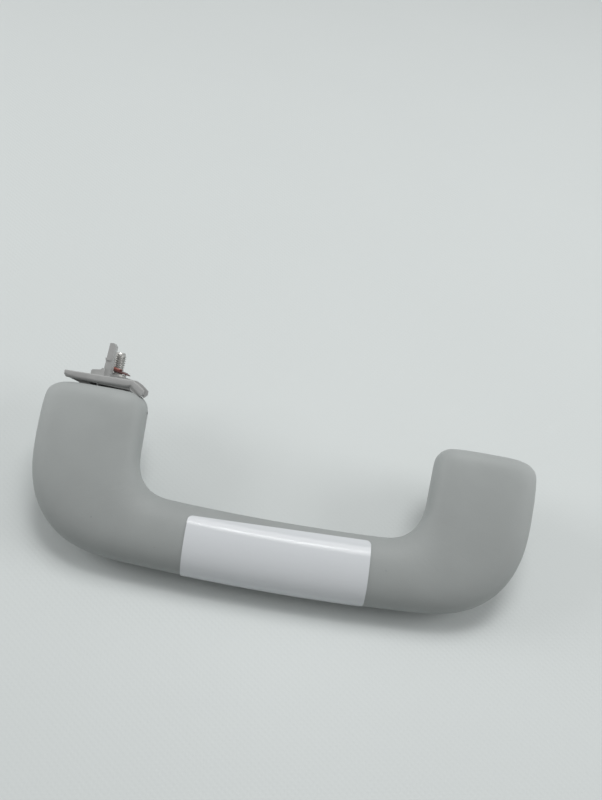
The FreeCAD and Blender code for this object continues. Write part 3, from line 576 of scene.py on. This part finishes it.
# Properties
class GrabHandleLook(bpy.types.PropertyGroup):
    """Colours and gloss that a user would change."""

    handle_colour: FloatVectorProperty(
        name="Handle colour", description="Moulded plastic of the handle",
        subtype="COLOR", size=3, min=0, max=1, default=(0.33, 0.35, 0.345))
    handle_roughness: FloatProperty(
        name="Handle roughness", description="How matte the handle is", min=0, max=1, default=0.52)
    bracket_colour: FloatVectorProperty(
        name="Bracket colour", description="Moulded plastic of the brackets",
        subtype="COLOR", size=3, min=0, max=1, default=(0.36, 0.365, 0.36))
    label_colour: FloatVectorProperty(
        name="Sticker colour", description="Film of the bare sticker",
        subtype="COLOR", size=3, min=0, max=1, default=(0.62, 0.645, 0.665))
    label_roughness: FloatProperty(
        name="Sticker roughness", description="How glossy the film is", min=0, max=1, default=0.1)
    steel_colour: FloatVectorProperty(
        name="Bolt colour", description="Zinc plating of the bolts",
        subtype="COLOR", size=3, min=0, max=1, default=(0.5, 0.5, 0.485))
    retainer_colour: FloatVectorProperty(
        name="Washer colour", description="Red retaining washers",
        subtype="COLOR", size=3, min=0, max=1, default=(0.075, 0.02, 0.017))
    # Painted highlight: the lighter red painted on the washer's tongue
    tongue_highlight_colour: FloatVectorProperty(
        name="Thin washer colour", description="The washer's tongue, where the plastic is thin",
        subtype="COLOR", size=3, min=0, max=1, default=(0.42, 0.16, 0.13))


class GrabHandleStage(bpy.types.PropertyGroup):
    """Table, light and camera."""

    table_colour: FloatVectorProperty(
        name="Table colour", description="Pale table top",
        subtype="COLOR", size=3, min=0, max=1, default=(0.62, 0.655, 0.65))
    camera_place: FloatVectorProperty(
        name="Camera place", description="Camera in the handle's own millimetres",
        size=3, default=(1.47, 11.24, 331.8))
    camera_turn: FloatVectorProperty(
        name="Camera turn", description="Camera against the handle's own axes",
        subtype="EULER", size=3,
        default=[math.radians(angle) for angle in (12.003, -2.094, 9.722)])
    focal_share: FloatProperty(
        name="Focal length share", description="Focal length over the picture's height",
        min=0.1, max=5, default=774 / 800)
    sky: FloatProperty(
        name="Ambient light", description="Strength of the even light all round", min=0, default=0.305)
    backdrop: FloatProperty(
        name="Backdrop", description="Brightness of the empty room, seen and in reflections",
        min=0, default=0.62)
    lamp: FloatProperty(
        name="Soft lamp", description="Power of the wide lamp overhead", subtype="POWER", min=0, default=4.4)
    side_lamps: FloatProperty(
        name="Side lamps", description="Power of each wide lamp at the sides",
        subtype="POWER", min=0, default=3.9)
    glint_lamp: FloatProperty(
        name="Glint lamp", description="Power of the small lamp that streaks the sticker",
        subtype="POWER", min=0, default=0.75)


# Operators
class DressNodes(bpy.types.Operator):
    """Gives every solid of the frame its finish"""

    bl_idname = "grab_handle.dress_nodes"
    bl_label = "Finish Frame Solids"

    def execute(self, context):
        for name, node in frame["nodes"].items():
            node.data.materials.clear()
            node.data.materials.append(finish_for(node_slot(name)))
        return {"FINISHED"}


class AddBrackets(bpy.types.Operator):
    """Adds both hinged brackets"""

    bl_idname = "grab_handle.add_brackets"
    bl_label = "Brackets"

    def execute(self, context):
        for side in SIDES:
            bracket(side)
        return {"FINISHED"}


class AddPin(bpy.types.Operator):
    """Adds the left hinge pin, whose end shows"""

    bl_idname = "grab_handle.add_pin"
    bl_label = "Left Hinge Pin"

    def execute(self, context):
        left_pin()
        return {"FINISHED"}


class AddBolts(bpy.types.Operator):
    """Adds both threaded bolts"""

    bl_idname = "grab_handle.add_bolts"
    bl_label = "Threaded Bolts"

    def execute(self, context):
        for side in SIDES:
            bolt(side)
        return {"FINISHED"}


class AddRetainers(bpy.types.Operator):
    """Adds the red washers that keep the bolts in"""

    bl_idname = "grab_handle.add_retainers"
    bl_label = "Retaining Washers"

    def execute(self, context):
        for side in SIDES:
            retainer(side)
        return {"FINISHED"}


class SetStage(bpy.types.Operator):
    """Adds the table top, the lamps and the camera"""

    bl_idname = "grab_handle.set_stage"
    bl_label = "Table, Light and Camera"

    def execute(self, context):
        stage = context.scene.grab_handle_stage
        add_table(stage)
        add_light(stage)
        add_camera(stage)
        context.scene.view_settings.view_transform = "Standard"
        return {"FINISHED"}


def add_table(stage):
    """A wide pale sheet under the handle."""
    mesh = bmesh.new()
    bmesh.ops.create_grid(mesh, x_segments=1, y_segments=1, size=TABLE_HALF)
    data = bpy.data.meshes.new("table_top")
    mesh.to_mesh(data)
    mesh.free()
    finish = Finish("table_paint", specular_ior_level=0.3)
    colour = stage.table_colour
    cloud = finish.noise(0.012, 3)
    vein = finish.noise(0.09, 4, 0.65)
    tone = finish.blend(cloud, shade(colour, 0.985), shade(colour, 1.01))
    finish.set("Base Color", finish.blend(vein.over(0.6, 0.75) * 0.25, tone, shade(colour, 1.04)))
    finish.set("Roughness", TABLE_ROUGHNESS)
    weave = finish.woven(1.9, 35)
    finish.bump(finish.noise(0.12, 3) * 0.4 + weave, 0.05, 0.5)
    data.materials.append(finish.material)
    table = bpy.data.objects.new("table_top", data)
    bpy.context.scene.collection.objects.link(table)


def add_light(stage):
    """An even sky, a soft lamp above the far side, one on each side and a narrow one for the sticker."""
    world = bpy.data.worlds.new("even light")
    bpy.context.scene.world = world
    world.use_nodes = True
    shading = Shading(world.node_tree)
    shown = shading.node("ShaderNodeLightPath", {}, {}, "Is Camera Ray")
    shown = shown + shading.node("ShaderNodeLightPath", {}, {}, "Is Glossy Ray")
    sky = world.node_tree.nodes["Background"]
    shading.feed(sky.inputs["Color"], (1, 1, 1))
    shading.feed(sky.inputs["Strength"], shown * (stage.backdrop - stage.sky) + stage.sky)
    for name, power, width, depth, place in LAMPS:
        lamp = bpy.data.lights.new(name, "AREA")
        lamp.shape = "RECTANGLE"
        lamp.size = width
        lamp.size_y = depth
        lamp.energy = getattr(stage, power)
        holder = bpy.data.objects.new(name, lamp)
        holder.location = place
        holder.rotation_euler = (-holder.location).to_track_quat("-Z", "Y").to_euler()
        bpy.context.scene.collection.objects.link(holder)


def add_camera(stage):
    """The photograph's camera, held against the handle."""
    data = bpy.data.cameras.new("camera")
    data.sensor_fit = "VERTICAL"
    data.lens = stage.focal_share * data.sensor_height
    camera = bpy.data.objects.new("camera", data)
    turn = HANDLE_TURN @ Euler(stage.camera_turn).to_matrix().to_4x4()
    camera.matrix_world = Matrix.Translation(HANDLE @ Vector(stage.camera_place)) @ turn
    bpy.context.scene.collection.objects.link(camera)
    bpy.context.scene.camera = camera


# Panel
class GrabHandlePanel(bpy.types.Panel):
    """Lists the pieces of the grab handle's looks"""

    bl_idname = "VIEW3D_PT_grab_handle"
    bl_label = "Grab Handle"
    bl_space_type = "VIEW_3D"
    bl_region_type = "UI"
    bl_category = "Grab Handle"

    def draw(self, context):
        for operator in OPERATORS:
            self.layout.operator(operator.bl_idname)
        for group in (context.scene.grab_handle_look, context.scene.grab_handle_stage):
            for name in group.bl_rna.properties.keys():
                if name not in ("rna_type", "name"):
                    self.layout.prop(group, name)


OPERATORS = (DressNodes, AddBrackets, AddPin, AddBolts, AddRetainers, SetStage)
CLASSES = (GrabHandleLook, GrabHandleStage, *OPERATORS, GrabHandlePanel)


def register():
    for kind in CLASSES:
        bpy.utils.register_class(kind)
    bpy.types.Scene.grab_handle_look = PointerProperty(type=GrabHandleLook)
    bpy.types.Scene.grab_handle_stage = PointerProperty(type=GrabHandleStage)


def unregister():
    del bpy.types.Scene.grab_handle_look
    del bpy.types.Scene.grab_handle_stage
    for kind in reversed(CLASSES):
        bpy.utils.unregister_class(kind)


def main():
    register()
    for operator in OPERATORS:
        group, name = operator.bl_idname.split(".")
        getattr(getattr(bpy.ops, group), name)()


if __name__ == "__main__":
    main()
